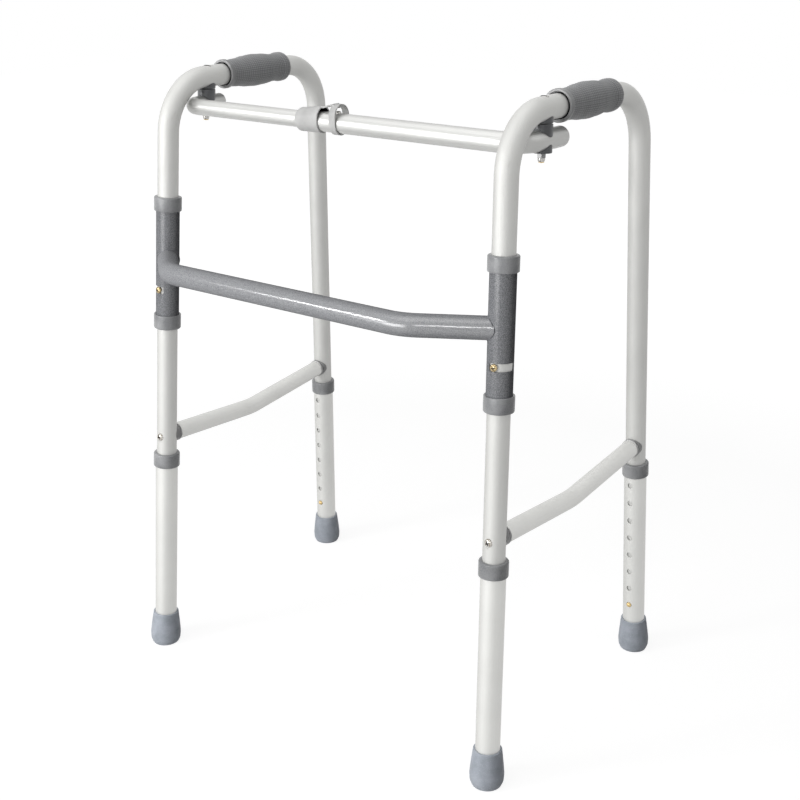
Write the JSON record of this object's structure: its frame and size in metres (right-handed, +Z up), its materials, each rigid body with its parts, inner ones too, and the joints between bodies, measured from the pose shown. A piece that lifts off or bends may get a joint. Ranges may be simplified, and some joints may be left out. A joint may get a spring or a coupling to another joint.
{
  "type": "folding walking frame",
  "caption": "Folding walking frame with side frames of bright tube, hand grips, side rails, a telescoping upper bar, a hammertone crossbar and height-adjustable legs.",
  "frame": {"origin": "on the floor, at the middle of the frame's bounding box", "axes": "+X to the right seen from the front, +Y from the front to the open rear where the user stands, +Z up"},
  "size_m": [0.5786, 0.4178, 0.7691],
  "materials": {
    "silver_tube": "satin",
    "hammertone": "hammertone",
    "dark_plastic": "matt",
    "lock_plastic": "matt",
    "grip_rubber": "ribbed matt",
    "foot_rubber": "matt",
    "brass": "polished",
    "spring_steel": "satin",
    "steel": "polished"
  },
  "bodies": {
    "base": {"left_lower_sleeve_collar": "dark_plastic", "left_sleeve": "hammertone", "left_upper_sleeve_collar": "dark_plastic", "right_lower_sleeve_collar": "dark_plastic", "right_sleeve": "hammertone", "right_upper_sleeve_collar": "dark_plastic", "lower_crossbar": "hammertone"},
    "inner_bar": {"inner_bar": "silver_tube", "left_lower_saddle": "dark_plastic", "left_bottom_saddle": "dark_plastic", "lock_spring": "spring_steel"},
    "outer_bar": {"outer_bar": "silver_tube", "lock_collar": "lock_plastic", "right_lower_saddle": "dark_plastic", "right_bottom_saddle": "dark_plastic", "right_pivot_nut": "steel"},
    "release_ring": {"release_ring": "lock_plastic"},
    "lock_button": {"lock_button": "brass"},
    "left_frame": {"left_frame_tube": "silver_tube", "left_front_clip_spring": "spring_steel", "left_front_rail_saddle": "dark_plastic", "left_front_rail_screw": "steel", "left_grip": "grip_rubber", "left_pivot_bolt": "steel", "left_pivot_nut": "steel", "left_rear_clip_spring": "spring_steel", "left_rear_rail_saddle": "dark_plastic", "left_rear_rail_screw": "steel", "left_side_rail": "silver_tube", "left_stop_screw": "brass", "left_upper_saddle": "dark_plastic"},
    "right_frame": {"right_frame_tube": "silver_tube", "right_front_clip_spring": "spring_steel", "right_front_rail_saddle": "dark_plastic", "right_front_rail_screw": "steel", "right_grip": "grip_rubber", "right_pivot_bolt": "steel", "right_rear_clip_spring": "spring_steel", "right_rear_rail_saddle": "dark_plastic", "right_rear_rail_screw": "steel", "right_side_rail": "silver_tube", "right_stop_screw": "brass", "right_upper_saddle": "dark_plastic"},
    "left_front_leg": {"left_front_lower_leg": "silver_tube", "left_front_leg_collar": "dark_plastic", "left_front_foot": "foot_rubber"},
    "left_front_clip_button": {"left_front_clip_button": "brass"},
    "left_rear_leg": {"left_rear_lower_leg": "silver_tube", "left_rear_leg_collar": "dark_plastic", "left_rear_foot": "foot_rubber"},
    "left_rear_clip_button": {"left_rear_clip_button": "brass"},
    "right_front_leg": {"right_front_lower_leg": "silver_tube", "right_front_leg_collar": "dark_plastic", "right_front_foot": "foot_rubber"},
    "right_front_clip_button": {"right_front_clip_button": "brass"},
    "right_rear_leg": {"right_rear_lower_leg": "silver_tube", "right_rear_leg_collar": "dark_plastic", "right_rear_foot": "foot_rubber"},
    "right_rear_clip_button": {"right_rear_clip_button": "brass"}
  },
  "joints": [
    {"name": "left_fold", "type": "hinge", "parent": "base", "child": "left_frame", "pos_m": [-0.26065, -0.17618, 0], "axis": [-0.0364, -0.0576, -0.9977], "range_deg": [0, 88]},
    {"name": "right_fold", "type": "hinge", "parent": "base", "child": "right_frame", "pos_m": [0.26065, -0.17618, 0], "axis": [-0.0364, 0.0576, 0.9977], "range_deg": [0, 64]},
    {"name": "bar_swivel", "type": "hinge", "parent": "left_frame", "child": "inner_bar", "pos_m": [-0.23607, -0.06877, 0.71769], "axis": [0.0364, 0.0576, 0.9977], "range_deg": [0, 92.39]},
    {"name": "bar_telescope", "type": "slide", "parent": "inner_bar", "child": "outer_bar", "axis": [-1, 0, 0], "range_m": [0, 0.1266], "deforming": ["lock_button"]},
    {"name": "release_hinge", "type": "hinge", "parent": "outer_bar", "child": "release_ring", "pos_m": [-0.0234, -0.10157, 0.73369], "axis": [0, 1, 0], "range_deg": [0, 18], "stiffness_Nm_per_rad": 0.6, "deforming": ["lock_button"]},
    {"name": "lock_button_press", "type": "slide", "parent": "inner_bar", "child": "lock_button", "axis": [0, 0, -1], "range_m": [0, 0.0036], "stiffness_N_per_m": 600, "deforming": ["lock_spring"]},
    {"name": "left_front_leg_slide", "type": "slide", "parent": "left_frame", "child": "left_front_leg", "axis": [-0.0364, -0.0576, -0.9977], "range_m": [0, 0.1778], "deforming": ["left_front_clip_button"]},
    {"name": "left_front_clip_press", "type": "slide", "parent": "left_frame", "child": "left_front_clip_button", "axis": [0.0265, -0.998, 0.0567], "range_m": [0, 0.0042], "stiffness_N_per_m": 800, "deforming": ["left_front_clip_spring"]},
    {"name": "left_rear_leg_slide", "type": "slide", "parent": "left_frame", "child": "left_rear_leg", "axis": [-0.0392, 0.0558, -0.9977], "range_m": [0, 0.1778], "deforming": ["left_rear_clip_button"]},
    {"name": "left_rear_clip_press", "type": "slide", "parent": "left_frame", "child": "left_rear_clip_button", "axis": [-0.0222, 0.9981, 0.0567], "range_m": [0, 0.0042], "stiffness_N_per_m": 800, "deforming": ["left_rear_clip_spring"]},
    {"name": "right_front_leg_slide", "type": "slide", "parent": "right_frame", "child": "right_front_leg", "axis": [0.0364, -0.0576, -0.9977], "range_m": [0, 0.1778], "deforming": ["right_front_clip_button"]},
    {"name": "right_front_clip_press", "type": "slide", "parent": "right_frame", "child": "right_front_clip_button", "axis": [-0.0265, -0.998, 0.0567], "range_m": [0, 0.0042], "stiffness_N_per_m": 800, "deforming": ["right_front_clip_spring"]},
    {"name": "right_rear_leg_slide", "type": "slide", "parent": "right_frame", "child": "right_rear_leg", "axis": [0.0392, 0.0558, -0.9977], "range_m": [0, 0.1778], "deforming": ["right_rear_clip_button"]},
    {"name": "right_rear_clip_press", "type": "slide", "parent": "right_frame", "child": "right_rear_clip_button", "axis": [0.0222, 0.9981, 0.0567], "range_m": [0, 0.0042], "stiffness_N_per_m": 800, "deforming": ["right_rear_clip_spring"]}
  ],
  "couplings": [
    {"joint": "right_fold", "follows": "left_fold", "ratio": 0.72727},
    {"joint": "bar_swivel", "follows": "left_fold", "ratio": 1.0499},
    {"joint": "bar_telescope", "follows": "left_fold", "m_per_rad": 0.082427}
  ]
}
